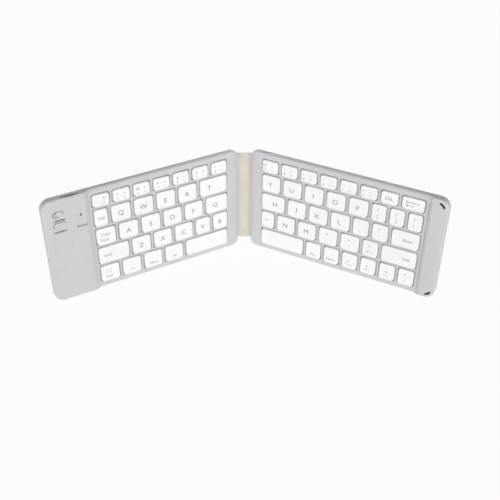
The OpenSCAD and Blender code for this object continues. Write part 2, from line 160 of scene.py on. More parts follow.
@dataclass(frozen=True)
class Finish:
    """One surface finish, built as shader nodes on object coordinates.

    The slot is the record's name for the surface. It names the finish too, unless a name
    is given.
    """

    slot: str
    shade: tuple[float, float, float]
    name: str = ""
    shade_spread: float = 0.03
    grain: Grain = Grain.MOULDED
    grain_mm: float = 0.25
    relief_mm: float = 0.004
    roughness: float = 0.5
    roughness_spread: float = 0.06
    metallic: float = 0.0
    coat: float = 0.0
    patch_mm: float = 14.0
    patch_octaves: float = 3.0
    patch_stops: tuple[float, float] = (0.3, 0.7)
    grain_octaves: float = 2.0
    sprayed_octaves: float = 4.0
    pebble_smoothness: float = 0.6
    brush_stretch: tuple[float, float, float] = (0.06, 0.06, 1.0)

    def material(self) -> bpy.types.Material:
        """Builds the material once, and returns it again on later calls.

        Returns:
            A material whose colour, gloss and relief vary over the surface.
        """
        title = f"{self.name or self.slot}_finish"
        made = bpy.data.materials.get(title)
        if made is not None:
            return made
        made = bpy.data.materials.new(title)
        board = NodeBoard(made)
        place = board.add("TexCoord").outputs["Object"]

        patches = self._noise(board, place, self.patch_mm, self.patch_octaves)
        ramp = board.add("ValToRGB", {"Fac": patches})
        light = np.array(linear(self.shade))[:3]
        shades = (light * (1 - self.shade_spread), light)
        for stop, level, shade in zip(list(ramp.color_ramp.elements), self.patch_stops, shades):
            stop.position = level
            stop.color = (*shade, 1.0)

        detail = self._grain(board, place)
        gloss = board.add("MapRange", {
            "Value": detail,
            "To Min": self.roughness - self.roughness_spread,
            "To Max": self.roughness + self.roughness_spread,
        })
        bump = board.add("Bump", {
            "Height": detail, "Strength": 1.0, "Distance": self.relief_mm * MM,
        })
        shader = board.add("BsdfPrincipled", {
            "Base Color": ramp.outputs["Color"], "Roughness": gloss.outputs["Result"],
            "Normal": bump.outputs["Normal"], "Metallic": self.metallic,
            "Coat Weight": self.coat,
        })
        board.add("OutputMaterial", {"Surface": shader.outputs["BSDF"]})
        return made

    def _noise(
        self, board: NodeBoard, place: bpy.types.NodeSocket, size_mm: float, octaves: float
    ) -> bpy.types.NodeSocket:
        """Adds a noise field.

        Args:
            board: The material's node tree.
            place: The socket with the coordinates.
            size_mm: How wide its features are.
            octaves: How many finer layers are added to them.

        Returns:
            The socket with its value, from 0 to 1.
        """
        noise = board.add("TexNoise", {
            "Vector": place, "Scale": 1 / (size_mm * MM), "Detail": octaves,
        })
        return noise.outputs["Fac"]

    def _grain(self, board: NodeBoard, place: bpy.types.NodeSocket) -> bpy.types.NodeSocket:
        """Adds the pattern of the fine surface.

        Args:
            board: The material's node tree.
            place: The socket with the coordinates.

        Returns:
            The socket with its height, from 0 to 1.
        """
        if self.grain is Grain.PEBBLED:
            cells = board.add("TexVoronoi", {
                "Vector": place, "Scale": 1 / (self.grain_mm * MM),
                "Smoothness": self.pebble_smoothness,
            }, feature="SMOOTH_F1")
            return cells.outputs["Distance"]
        if self.grain is Grain.BRUSHED:
            stretch = board.add("Mapping", {"Vector": place, "Scale": self.brush_stretch})
            place = stretch.outputs["Vector"]
        octaves = self.sprayed_octaves if self.grain is Grain.SPRAYED else self.grain_octaves
        return self._noise(board, place, self.grain_mm, octaves)

    def dress(self, piece: bpy.types.Object) -> None:
        """Gives a piece, or a node of the frame, this finish all over."""
        piece.data.materials.clear()
        piece.data.materials.append(self.material())


def ink(name: str, slot: str, shade: tuple[float, float, float], spread: float) -> Finish:
    """Describes a thin print.

    Args:
        name: The name of the finish.
        slot: The record's slot of the surface that it is printed on.
        shade: Its colour.
        spread: How much its strength varies.

    Returns:
        The finish.
    """
    return Finish(
        slot, shade, name, spread, grain_mm=0.1, relief_mm=0.001, roughness=0.6, patch_mm=1.5
    )


CASE_SILVER = Finish(
    "case_silver", (204, 204, 207), shade_spread=0.02, grain=Grain.SPRAYED,
    grain_mm=0.12, relief_mm=0.0015, roughness=0.45, coat=0.05,
)
KEY_WHITE = Finish(
    "key_white", (245, 245, 247), shade_spread=0.01, grain_mm=0.3,
    relief_mm=0.003, roughness=0.5,
)
# Painted shade: the caps' side walls and lower rim are a little greyer than the tops, standing in
# for the shadow on the walls and in the gap round each cap.
PAINTED_SHADE_WALL = replace(
    KEY_WHITE, name="painted_shade_wall", shade=(234, 234, 237), shade_spread=0.06, roughness=0.6
)
KEY_INK = ink("key_ink", "key_white", (140, 141, 145), 0.1)
FAINT_INK = ink("faint_ink", "key_white", (196, 196, 210), 0.08)
CASE_INK = ink("case_ink", "case_silver", (42, 42, 45), 0.2)
CASE_FAINT_INK = ink("case_faint_ink", "case_silver", (180, 180, 184), 0.1)
# Painted shadow: a dark ink for the lines along the rear and outer edges of the switch and the
# button.
EDGE_SHADOW_INK = ink("edge_shadow_line", "case_silver", (84, 84, 88), 0.15)
LEATHER = Finish(
    "hinge_leather", (218, 212, 201), shade_spread=0.07,
    grain=Grain.PEBBLED, grain_mm=0.55, relief_mm=0.05, roughness=0.68, patch_mm=6.0,
)
BUMPER_RUBBER = Finish(
    "bumper_rubber", (14, 14, 15), shade_spread=0.2, grain_mm=0.15,
    relief_mm=0.004, roughness=0.75, patch_mm=2.0,
)
DOME_RUBBER = Finish("dome_rubber", (224, 224, 220), roughness=0.6)
LEVER_PLASTIC = Finish("scissor_plastic", (236, 236, 232), roughness=0.45)
PLATE_STEEL = Finish(
    "steel_plate", (150, 152, 156), grain=Grain.BRUSHED, roughness=0.35,
    metallic=0.9,
)
FILM = Finish("membrane_film", (176, 206, 190), roughness=0.25, coat=0.3)
BOARD_GREEN = Finish("circuit_board", (30, 104, 66), roughness=0.35, coat=0.4)
POUCH_FOIL = Finish(
    "battery_pouch", (196, 199, 203), grain=Grain.BRUSHED, roughness=0.35,
    metallic=0.7,
)
SOCKET_STEEL = Finish(
    "socket_shell", (172, 172, 174), grain=Grain.BRUSHED, grain_mm=0.1,
    roughness=0.3, metallic=0.95, patch_mm=3.0,
)
SOCKET_PLASTIC = Finish(
    "socket_shell", (16, 16, 18), "socket_plastic", shade_spread=0.2, grain_mm=0.1,
    roughness=0.5, patch_mm=1.0,
)
LAMP_WINDOW = Finish(
    "light_guide", (20, 20, 22), shade_spread=0.1, roughness=0.15, coat=0.6,
    patch_mm=2.0,
)
RIBBON_FILM = Finish("ribbon_film", (206, 150, 70), roughness=0.3, coat=0.3)

HALF_FINISHES = {
    "bottom_cover": CASE_SILVER,
    "top_frame": CASE_SILVER,
    "base_plate": PLATE_STEEL,
    "membrane": FILM,
    "domes": DOME_RUBBER,
    "scissors": LEVER_PLASTIC,
    "leather": LEATHER,
}
NODE_FINISHES = {
    **{f"{side.value}_{part}": finish for side in Side for part, finish in HALF_FINISHES.items()},
    "spine": LEATHER,
    "power_switch": CASE_SILVER,
    "connect_button": CASE_SILVER,
    "battery": POUCH_FOIL,
    "main_board": BOARD_GREEN,
    "usb_socket": SOCKET_STEEL,
    "status_led": LAMP_WINDOW,
    "flex_cable": RIBBON_FILM,
    "bumper_pads": BUMPER_RUBBER,
}


def placed(name: str, data: bpy.types.ID) -> bpy.types.Object:
    """Makes an object and puts it in the scene.

    Args:
        name: The name of the object.
        data: Its mesh, text, lamp or lens.

    Returns:
        The object.
    """
    made = bpy.data.objects.new(name, data)
    bpy.context.scene.collection.objects.link(made)
    return made


def columns(*axes_and_place: np.ndarray) -> list[list[float]]:
    """Packs the X, Y and Z axes and the place, in metres, into a matrix, column by column."""
    return np.insert(axes_and_place, 3, [0, 0, 0, 1], axis=1).tolist()


def points_of(mesh: bpy.types.Mesh) -> np.ndarray:
    """Reads the vertices of a mesh.

    Args:
        mesh: The mesh.

    Returns:
        An array (N, 3) in the mesh's own unit.
    """
    points = np.empty(len(mesh.vertices) * 3, np.float32)
    mesh.vertices.foreach_get("co", points)
    return points.reshape(-1, 3).astype(float)


def vertices_of(node: str) -> np.ndarray:
    """Returns the vertices of a node of the frame, in metres."""
    return points_of(frame["nodes"][node].data)


def corners_of(node: str) -> np.ndarray:
    """Reads the corners of a node's triangles.

    Args:
        node: The node's name.

    Returns:
        An array (triangles, 3, 3) in metres.
    """
    mesh = frame["nodes"][node].data
    mesh.calc_loop_triangles()
    index = np.empty(len(mesh.loop_triangles) * 3, np.int32)
    mesh.loop_triangles.foreach_get("vertices", index)
    return points_of(mesh)[index].reshape(-1, 3, 3)


def fold_joint(side: Side) -> dict:
    """Returns the joint that a half turns about."""
    return next(joint for joint in frame["joints"] if joint["name"] == f"{side.value}_fold")


@dataclass(frozen=True)
class HalfPlace:
    """Where one half stands, worked out from its fold joint and its back cover."""

    side: Side
    origin: np.ndarray
    outward: np.ndarray
    facing: np.ndarray

    @classmethod
    def of(cls, side: Side) -> "HalfPlace":
        """Reads the place of a half from the frame.

        The half is turned back from lying flat by the lower end of its fold's range, so
        that angle gives its two directions. The lowest corner of its cover along them
        is the origin.

        Args:
            side: The half to look up.

        Returns:
            The place, with its directions as unit vectors and its origin in metres.
        """
        turn = math.radians(-fold_joint(side)["range_deg"][0])
        outward = np.array([side.sign * math.cos(turn), -math.sin(turn), 0.0])
        facing = np.array([-side.sign * math.sin(turn), -math.cos(turn), 0.0])
        cover = vertices_of(f"{side.value}_bottom_cover")
        origin = outward * (cover @ outward).min() + facing * (cover @ facing).min()
        return cls(side, origin, outward, facing)

    @property
    def body(self) -> str:
        """The body of the frame that the half rides on."""
        return f"{self.side.value}_half"

    def to_row(self, flat: np.ndarray) -> np.ndarray:
        """Carries flat points into the frame.

        Args:
            flat: Points (..., 3) as u, t and n in millimetres.

        Returns:
            The same points in metres.
        """
        flat = np.asarray(flat, float) * MM
        up = np.array([0.0, 0.0, 1.0])
        return (
            self.origin
            + flat[..., :1] * self.outward
            + flat[..., 1:2] * up
            + flat[..., 2:] * self.facing
        )

    def to_flat(self, row: np.ndarray) -> np.ndarray:
        """Carries points of the frame, in metres, into u, t and n in millimetres."""
        away = np.asarray(row, float) - self.origin
        return np.stack([away @ self.outward, away[..., 2], away @ self.facing], -1) / MM


def spans(low: np.ndarray, high: np.ndarray, gap: float) -> list[tuple[float, float]]:
    """Merges intervals that touch, or are closer than a gap.

    The intervals are put in the order of their lower ends. A new span starts wherever
    one begins beyond the highest upper end before it.

    Args:
        low: Lower ends.
        high: Upper ends.
        gap: The least distance between two spans.

    Returns:
        The merged spans, from the lowest up.
    """
    order = np.argsort(low)
    low, high = low[order], np.maximum.accumulate(high[order])
    breaks = np.flatnonzero(low[1:] > high[:-1] + gap) + 1
    starts = np.concatenate([[0], breaks])
    ends = np.concatenate([breaks, [len(low)]]) - 1
    return list(zip(low[starts].tolist(), high[ends].tolist()))


def rounded_outline(length: float, depth: float, radius: float, steps: int) -> np.ndarray:
    """Returns the points of a rounded rectangle about its own middle.

    Each corner is an arc of steps points about a centre that lies a radius in from both
    sides, so outlines with equal steps match point for point.

    Args:
        length: Size along the first axis.
        depth: Size along the second axis.
        radius: Corner radius.
        steps: Points on each corner.

    Returns:
        An array (4 * steps, 2).
    """
    quarter = np.linspace(0, math.pi / 2, steps)
    angles = np.concatenate([quarter + k * math.pi / 2 for k in range(4)])
    signs = np.repeat(np.array([[1, 1], [-1, 1], [-1, -1], [1, -1]]), steps, axis=0)
    centres = signs * np.array([length / 2 - radius, depth / 2 - radius])
    return centres + radius * np.stack([np.cos(angles), np.sin(angles)], -1)


def ring_faces(rows: int, count: int) -> np.ndarray:
    """Joins rows of closed rings by quads.

    Args:
        rows: How many rings there are.
        count: How many points each of them has.

    Returns:
        An array (faces, 4) of indices, ring by ring.
    """
    row, column = np.meshgrid(np.arange(rows - 1), np.arange(count), indexing="ij")
    right = (column + 1) % count
    quads = np.stack(
        [row * count + column, row * count + right,
         (row + 1) * count + right, (row + 1) * count + column], -1,
    )
    return quads.reshape(-1, 4)


def closed_stack(rings: np.ndarray) -> tuple[np.ndarray, list[list[int]]]:
    """Closes a stack of rings with a fan at each end.

    Args:
        rings: Points (rows, count, 3), from the first ring to the last.

    Returns:
        The points and the faces of one closed shell.
    """
    rows, count = rings.shape[:2]
    points = np.concatenate(
        [rings.reshape(-1, 3), rings[:1].mean(1), rings[-1:].mean(1)]
    )
    here = np.arange(count)
    after = (here + 1) % count
    first = np.stack([after, here, np.full(count, rows * count)], -1)
    base = (rows - 1) * count
    last = np.stack([base + here, base + after, np.full(count, rows * count + 1)], -1)
    faces = ring_faces(rows, count).tolist() + first.tolist() + last.tolist()
    return points, faces


@dataclass
class Shell:
    """Points and faces that are collected before they become one piece."""

    points: list[np.ndarray] = field(default_factory=list)
    faces: list[list[int]] = field(default_factory=list)
    slots: list[int] = field(default_factory=list)
    count: int = 0

    def add(
        self, points: np.ndarray, faces: list[list[int]], slots: int | list[int] = 0
    ) -> None:
        """Adds a shell.

        Args:
            points: Its points (N, 3).
            faces: Its faces, as lists of indices into points.
            slots: The index of its material, or one for each face.
        """
        self.points.append(points)
        self.faces += [[i + self.count for i in face] for face in faces]
        self.slots += [slots] * len(faces) if isinstance(slots, int) else slots
        self.count += len(points)

    def piece(
        self, name: str, finishes: list[Finish], smooth_below: float = 35.0
    ) -> bpy.types.Object:
        """Makes the collected shells one object, with its faces outwards.

        Args:
            name: The name of the piece.
            finishes: Its finishes, in the order of the slots.
            smooth_below: Edges that turn less than this many degrees are shaded smooth.

        Returns:
            The object, with its place in its mesh.
        """
        mesh = bpy.data.meshes.new(name)
        mesh.from_pydata(np.concatenate(self.points).tolist(), [], self.faces)
        mesh.polygons.foreach_set("material_index", np.array(self.slots, np.int32))
        work = bmesh.new()
        work.from_mesh(mesh)
        bmesh.ops.recalc_face_normals(work, faces=work.faces)
        work.to_mesh(mesh)
        work.free()
        mesh.shade_smooth()
        mesh.set_sharp_from_angle(angle=math.radians(smooth_below))
        for finish in finishes:
            mesh.materials.append(finish.material())
        return placed(name, mesh)


@dataclass(frozen=True)
class Sign:
    """One printed sign: its text, cap height and place on the key, in millimetres."""

    text: str
    height: float = 3.6
    right: float = 0.0
    up: float = 0.0
    faint: bool = False
    bold: float = 0.0


@dataclass(frozen=True)
class CapPlace:
    """The lowest and the highest corner of one key cap on its half, as u, t and n."""

    low: np.ndarray
    high: np.ndarray

    @property
    def middle(self) -> np.ndarray:
        """The middle of the cap, as u and t."""
        return (self.low + self.high)[:2] / 2

    @property
    def size(self) -> np.ndarray:
        """The cap's length along u and its depth along t."""
        return (self.high - self.low)[:2]


def cap_places(node: str, place: HalfPlace, gap: float = 1.0) -> list[CapPlace]:
    """Finds the caps of a node from its triangles.

    The triangles of one cap overlap along t and along u, and the gaps between caps are
    wider than gap, so merged intervals give the rows and then the caps of each row.

    Args:
        node: The node's name.
        place: The half that it belongs to.
        gap: The least distance between two caps.

    Returns:
        The caps, from the front row to the rear and from the fold outwards.
    """
    flat = place.to_flat(corners_of(node))
    low, high = flat.min(1), flat.max(1)
    bottom, top = low[:, 2].min(), high[:, 2].max()
    found = []
    for front, rear in spans(low[:, 1], high[:, 1], gap):
        row = (low[:, 1] >= front) & (high[:, 1] <= rear)
        for near, far in spans(low[row, 0], high[row, 0], gap):
            found.append(CapPlace(np.array([near, front, bottom]), np.array([far, rear, top])))
    return found


# Where the left column of a number key's signs lies, from the middle of the key, and how
# far to the right of it the other column is
DIGIT_COLUMN = {Side.LEFT: -3.2, Side.RIGHT: -4.0}
DIGIT_COLUMNS_APART = 5.6


def letter(text: str, right: float = -0.4) -> list[Sign]:
    """The sign of a letter key, near its middle."""
    return [Sign(text, 4.1, right, -0.5)]


def mode_letter(text: str, mode: str, right: float) -> list[Sign]:
    """A letter over the small faint name of a pairing mode."""
    return [*letter(text), Sign(mode, 1.1, right, -5.2, True)]


def pair(shifted: str, plain: str) -> list[Sign]:
    """The two signs of a symbol key, one above the other."""
    return [Sign(shifted, 2.6, -0.6, 2.9), Sign(plain, 2.6, -0.6, -3.2)]


def digit(signs: str, side: Side) -> list[Sign]:
    """The four small signs of a number key, in two columns.

    Args:
        signs: The upper and lower dark sign, the name of a function key low on the right,
            and the faint sign above it, with spaces between them.
        side: The half that the key is on.

    Returns:
        The signs.
    """
    shifted, plain, key, picture = signs.split()
    left = DIGIT_COLUMN[side]
    right = left + DIGIT_COLUMNS_APART
    return [
        Sign(shifted, 1.9, left, 1.2), Sign(plain, 2.0, left, -2.5),
        Sign(picture, 2.2, right, 0.9, True), Sign(key, 1.5, right, -2.7, True),
    ]


def arrow(sign: str, word: str, up: float) -> list[Sign]:
    """An arrow over a small word."""
    return [Sign(sign, 2.2, -0.6, up), Sign(word, 1.9, -0.4, -3.3, True)]


def low_word(text: str, right: float = 0.0, faint: bool = False) -> list[Sign]:
    """A word near the front edge of its key."""
    return [Sign(text, 2.3, right, -3.3, faint)]


# The signs of every cap, from the front row to the rear and from the fold outwards
SIGNS = {
    **{f"key_{name}": [letter(name.upper())] for name in "ryasdfzxcvbuiopjklnm"},
    "key_q": [mode_letter("Q", "mode one", -1.2)],
    "key_w": [mode_letter("W", "two", -3.8)],
    "key_e": [mode_letter("E", "three", -3.6)],
    "key_t": [letter("T", -3.6)],
    "key_g": [letter("G", -1.3)],
    "key_h": [letter("H", 1.7)],
    "left_number_keys": [
        digit(signs, Side.LEFT) for signs in (
            "^ 6 F6 »", "% 5 F5 ¤", "$ 4 F4 «", "# 3 F3 ±", "@ 2 F2 §", "! 1 F1 ø", "~ ` Esc ¶",
        )
    ],
    "right_number_keys": [
        *(digit(signs, Side.RIGHT) for signs in (
            "& 7 F7 «", "* 8 F8 ¤", "( 9 F9 »", ") 0 F10 ×", "_ - F11 -", "+ = F12 +",
        )),
        [Sign("DEL", 2.5, 0, -0.3)],
    ],
    "left_side_keys": [
        low_word("Alt"), low_word("Menu"), low_word("Fn", 0.5, True),
        [*low_word("Ctrl", -1.3), Sign("[:::]", 2.4, -1.3, 1.8, True)],
        [Sign("Caps", 2.6, -0.4, 1.4), Sign("lock", 2.6, -1.2, -2.8)],
        [Sign("Tab", 2.6, 0, -0.4)],
    ],
    "left_shift": [[Sign("Shift", 2.5, -5.0, -0.6)]],
    "left_space": [[]],
    "right_side_keys": [
        low_word("Alt", -0.4), low_word("Menu", -0.4),
        arrow("←", "Home", 0.0), arrow("↓", "PgDn", 0.6), arrow("→", "End", 0.0),
        pair("?", "/"), [Sign("Fn", 2.3, -0.7, 0, True)], arrow("↑", "PgUp", 2.6),
    ],
    "right_symbol_keys": [
        pair(*signs) for signs in ("<,", ">.", ":;", "\"'", "{[", "}]", "|\\")
    ],
    "right_shift": [[Sign("Shift", 2.5, 6.0, -0.4)]],
    "right_space": [[]],
    "key_enter": [[Sign("Enter", 2.6, 2.3, -0.4)]],
    "key_backspace": [[
        Sign("Backspace", 1.75, -0.5, 1.1),
        Sign("←", 2.6, -3.9, -1.6, bold=0.06), Sign("—", 2.6, -1.0, -1.7, bold=0.06),
    ]],
}


@dataclass(frozen=True)
class SignPrinter:
    """Prints signs as thin closed shells on a flat face of a half."""

    place: HalfPlace
    thickness: float = 0.03
    sunk: float = 0.012
    cap_share: float = 0.70
    curve_steps: int = 3

    def glyphs(self, sign: Sign) -> tuple[np.ndarray, list[list[int]]]:
        """Draws the text of a sign with the built-in font.

        Args:
            sign: What to print. Its strokes grow by bold millimetres on each side.

        Returns:
            Points (N, 3) about the middle of the text, in millimetres, and faces.
        """
        curve = bpy.data.curves.new("sign", "FONT")
        curve.body = sign.text
        curve.size = sign.height / self.cap_share
        curve.offset = sign.bold
        curve.extrude = self.thickness / 2
        curve.resolution_u = self.curve_steps
        writer = placed("sign", curve)
        bpy.context.view_layer.update()
        drawn = writer.evaluated_get(bpy.context.evaluated_depsgraph_get()).to_mesh()
        points = points_of(drawn)
        faces = [list(face.vertices) for face in drawn.polygons]
        bpy.data.objects.remove(writer)
        bpy.data.curves.remove(curve)
        if len(points):
            points[:, :2] -= (points[:, :2].min(0) + points[:, :2].max(0)) / 2
        return points, faces

    def print_on(self, shell: Shell, sign: Sign, middle: np.ndarray, top: float) -> None:
        """Adds one sign to a shell, in its second ink if it is faint.

        The text reads along X, which is against u on the left half.

        Args:
            shell: The shell that collects the signs.
            sign: What to print.
            middle: The middle of the face, as u and t.
            top: The height n of the face.
        """
        points, faces = self.glyphs(sign)
        if not len(points):
            log.warning("no shape for the sign %s", sign.text)
            return
        points += [sign.right, sign.up, self.thickness / 2 - self.sunk]
        points[:, 0] *= self.place.side.sign
        flat = points + [*middle, top]
        shell.add(self.place.to_row(flat), faces, int(sign.faint))


@dataclass(frozen=True)
class KeyCap:
    """The moulded shape of a cap: a drafted box with a rounded rim and a hollow back."""

    corner_radius: float = 2.5
    least_radius: float = 0.3
    draft: float = 0.4
    rim: float = 0.5
    dish: float = 0.06
    wall: float = 0.9
    roof: float = 1.0
    boss_radius: float = 1.3
    boss_tip: float = 1.6
    corner_steps: int = 7
    face_scales: tuple[float, ...] = (0.12, 0.4, 0.65, 0.85, 1.0)
    rim_steps: int = 5
    white_rim_steps: int = 3

    def slots(self, rings: np.ndarray) -> list[int]:
        """Tells the white top and upper rim from the walls, lower rim and inside, which are grey as
        painted shade.

        Args:
            rings: The rings of a cap.

        Returns:
            0 for each white face and 1 for each grey, painted-shade one, in the order of
            closed_stack.
        """
        rows, count = rings.shape[:2]
        white_bands = len(self.face_scales) - 1 + self.white_rim_steps
        bands = np.repeat(np.arange(rows - 1) >= white_bands, count)
        fans = np.repeat([False, True], count)
        return np.concatenate([bands, fans]).astype(int).tolist()

    def ring(self, cap: CapPlace, inset: float, height: float, scale: float = 1.0) -> np.ndarray:
        """Works out one rounded outline of a cap.

        Args:
            cap: The box that the cap fills.
            inset: How far the outline lies inside the box.
            height: Its height n.
            scale: How far it is drawn in towards the middle.

        Returns:
            Points (N, 3) in flat millimetres.
        """
        radius = max(self.corner_radius - inset, self.least_radius)
        flat = rounded_outline(*(cap.size - 2 * inset), radius, self.corner_steps)
        return np.insert(cap.middle + scale * flat, 2, height, axis=1)

    def disc(self, cap: CapPlace, height: float) -> np.ndarray:
        """Works out the outline of the boss under a cap, at a height n."""
        width = 2 * self.boss_radius
        flat = rounded_outline(width, width, self.boss_radius, self.corner_steps)
        return np.insert(cap.middle + flat, 2, height, axis=1)

    def rings(self, cap: CapPlace) -> np.ndarray:
        """Works out the cap as a stack of rings.

        The rings run from the middle of the top, dished by a parabola, to the rim, a
        quarter circle, down the drafted wall, round the lower edge, up the inner wall,
        along the ceiling and down the round boss.

        Args:
            cap: The box that the cap fills.

        Returns:
            Points (rings, points, 3) in flat millimetres.
        """
        inner = self.draft + self.rim
        bottom, top = cap.low[2], cap.high[2]
        ceiling = top - self.roof
        turns = np.linspace(0, math.pi / 2, self.rim_steps + 1)[1:]
        rows = [
            *((inner, top - self.dish * (1 - scale**2), scale) for scale in self.face_scales),
            *((inner - self.rim * math.sin(turn), top - self.rim * (1 - math.cos(turn)))
              for turn in turns),
            (0.0, bottom), (self.wall, bottom), (self.wall, ceiling),
        ]
        boss = [self.disc(cap, level) for level in (ceiling, top - self.boss_tip)]
        return np.array([self.ring(cap, *row) for row in rows] + boss)


def key_joints(place: HalfPlace) -> list[dict]:
    """Returns the joints of the key nodes on a half, in the order of the record."""
    return [
        joint for joint in frame["joints"]
        if joint["parent"] == place.body and joint["child"] in SIGNS
    ]


@dataclass(frozen=True)
class KeyField:
    """All key caps of one half, with their printed signs."""

    place: HalfPlace
    shape: KeyCap = KeyCap()
    print_level: float = 0.6

    def build(self) -> Iterator[bpy.types.Object]:
        """Makes the caps and signs of each key node.

        The signs lie at print_level of the way from the rim down to the dish's lowest point.

        Yields:
            The pieces.
        """
        printer = SignPrinter(self.place)
        for joint in key_joints(self.place):
            node = joint["child"]
            caps, signs = cap_places(node, self.place), SIGNS[node]
            if len(caps) != len(signs):
                raise ValueError(f"{node} has {len(caps)} caps and {len(signs)} lists of signs")
            body, prints = Shell(), Shell()
            for cap, printed in zip(caps, signs):
                rings = self.shape.rings(cap)
                body.add(*closed_stack(self.place.to_row(rings)), self.shape.slots(rings))
                face = cap.high[2] - self.shape.dish * self.print_level
                for sign in printed:
                    printer.print_on(prints, sign, cap.middle, face)
            # The second finish greys the walls and lower rim as painted shade.
            piece = body.piece(f"{node}_cap", [KEY_WHITE, PAINTED_SHADE_WALL])
            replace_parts(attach(piece, node), node)
            yield piece
            if prints.count:
                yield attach(prints.piece(f"{node}_signs", [KEY_INK, FAINT_INK]), node)


@dataclass(frozen=True)
class KeyWorks:
    """The levers and rubber domes under the keys, which give way as a key goes down."""

    place: HalfPlace
    spare: float = 0.04
    decimals: int = 4

    def under(self, corners: np.ndarray, caps: list[CapPlace]) -> np.ndarray:
        """Finds the triangles whose middle lies under one of some caps.

        Args:
            corners: Triangles (N, 3, 3) in flat millimetres.
            caps: The caps.

        Returns:
            A mask of N values.
        """
        middle = corners.mean(1)[:, None]
        low = np.array([cap.low for cap in caps])
        high = np.array([cap.high for cap in caps])
        return ((middle > low) & (middle < high))[..., :2].all(-1).any(-1)

    def build(self) -> Iterator[bpy.types.Object]:
        """Splits the levers and the domes by key.

        Equal corners of a part's triangles become one point.

        Yields:
            The pieces.
        """
        side = self.place.side.value
        for works, finish in (("scissors", LEVER_PLASTIC), ("domes", DOME_RUBBER)):
            corners = self.place.to_flat(corners_of(f"{side}_{works}"))
            foot, top = corners[..., 2].min(), corners[..., 2].max()
            anchor = self.place.to_row([0.0, 0.0, foot])
            for joint in key_joints(self.place):
                mine = corners[self.under(corners, cap_places(joint["child"], self.place))]
                points, index = np.unique(
                    mine.reshape(-1, 3).round(self.decimals), axis=0, return_inverse=True
                )
                shell = Shell()
                shell.add(self.place.to_row(points), index.reshape(-1, 3).tolist())
                piece = shell.piece(f"{joint['child']}_{works}", [finish])
                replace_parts(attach(piece, self.place.body), f"{side}_{works}")
                tuple(self.place.facing)
                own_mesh(piece)
                yield piece


@dataclass(frozen=True)
class ControlMarks:
    """The signs of the switch, the button and the lamp, and the dark lines of painted shadow along
    the edges of the switch and the button.
    """

    place: HalfPlace
    switch_words: Sign = Sign("OFF/ON", 1.6, -0.5, -5.1, bold=0.08)
    button_word: Sign = Sign("CONNECT", 1.4, -0.1, -5.6, bold=0.07)
    lamp_word: Sign = Sign("STATUS", 1.55, 0.1, -9.7, bold=0.07)
    tick_gap: float = 4.3
    tick: Sign = Sign("-", 2.4, 0.1, 0.0, True, 0.06)
    switch_slot: tuple[float, float, float] = (8.4, 5.1, 2.5)
    button_edge: tuple[float, float, float] = (9.3, 4.7, 1.7)
    end_slack: float = 0.6
    line_width: float = 0.42
    line_proud: float = 0.02
    line_sunk: float = 0.01
    face_depth: float = 0.05
    corner_steps: int = 8
    corners_followed: float = 2.5

    def edge_shadow_line(
        self, middle: np.ndarray, size: tuple[float, float, float], top: float
    ) -> np.ndarray:
        """Works out the dark line of painted shadow along the outer and rear edge of a control.

        Two rounded outlines, half a line width inside and outside the edge, are followed
        from the outer front corner over the rear edge to the fold side. Four points at
        each station make a thin closed ribbon.

        Args:
            middle: The middle of the control, as u and t.
            size: Length, depth and corner radius of its edge in millimetres.
            top: The height n of the face.

        Returns:
            Points (stations, 4, 3) in flat millimetres.
        """
        length, depth, radius = size
        steps, half = self.corner_steps, self.line_width / 2
        stations = int(steps * self.corners_followed)
        outlines = (
            rounded_outline(length + 2 * out, depth + 2 * out, radius + out, steps)
            for out in (half, half, -half, -half)
        )
        rings = [np.roll(outline, steps // 2, 0)[:stations] + middle for outline in outlines]
        levels = top + np.array([-self.line_sunk, self.line_proud, self.line_proud, -self.line_sunk])
        flat = np.stack(rings, 1)
        height = np.broadcast_to(levels[None, :, None], (*flat.shape[:2], 1))
        return np.concatenate([flat, height], -1)

    def build(self) -> Iterator[bpy.types.Object]:
        """Prints the signs and the painted shadow lines along the edges.

        Each control's place is that of the face on its top. The slot of the switch is
        longer than its knob, which rests at the fold end of it, so its line is moved
        outwards by half of what the knob and a slack at the end leave free.

        Yields:
            The piece.
        """
        shell = Shell()
        printer = SignPrinter(self.place)
        top = float(self.place.to_flat(vertices_of("left_top_frame"))[:, 2].max())
        ticks = [replace(self.tick, up=up) for up in (self.tick_gap, -self.tick_gap)]
        for node, edge, signs in (
            ("power_switch", self.switch_slot, [self.switch_words]),
            ("connect_button", self.button_edge, [self.button_word]),
            ("status_led", None, [self.lamp_word, *ticks]),
        ):
            flat = self.place.to_flat(vertices_of(node))
            face = flat[flat[:, 2] > flat[:, 2].max() - self.face_depth]
            low, high = face[:, :2].min(0), face[:, :2].max(0)
            for sign in signs:
                printer.print_on(shell, sign, (low + high) / 2, top)
            if edge is not None:
                # A dark line of painted shadow along the control's rear and outer edge.
                reach = max(edge[0] - (high[0] - low[0]) - self.end_slack, 0.0) / 2
                rings = self.edge_shadow_line((low + high) / 2 + [reach, 0], edge, top)
                shell.add(*closed_stack(self.place.to_row(rings)), 2)
        piece = shell.piece("control_signs", [CASE_INK, CASE_FAINT_INK, EDGE_SHADOW_INK])
        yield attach(piece, "left_half")


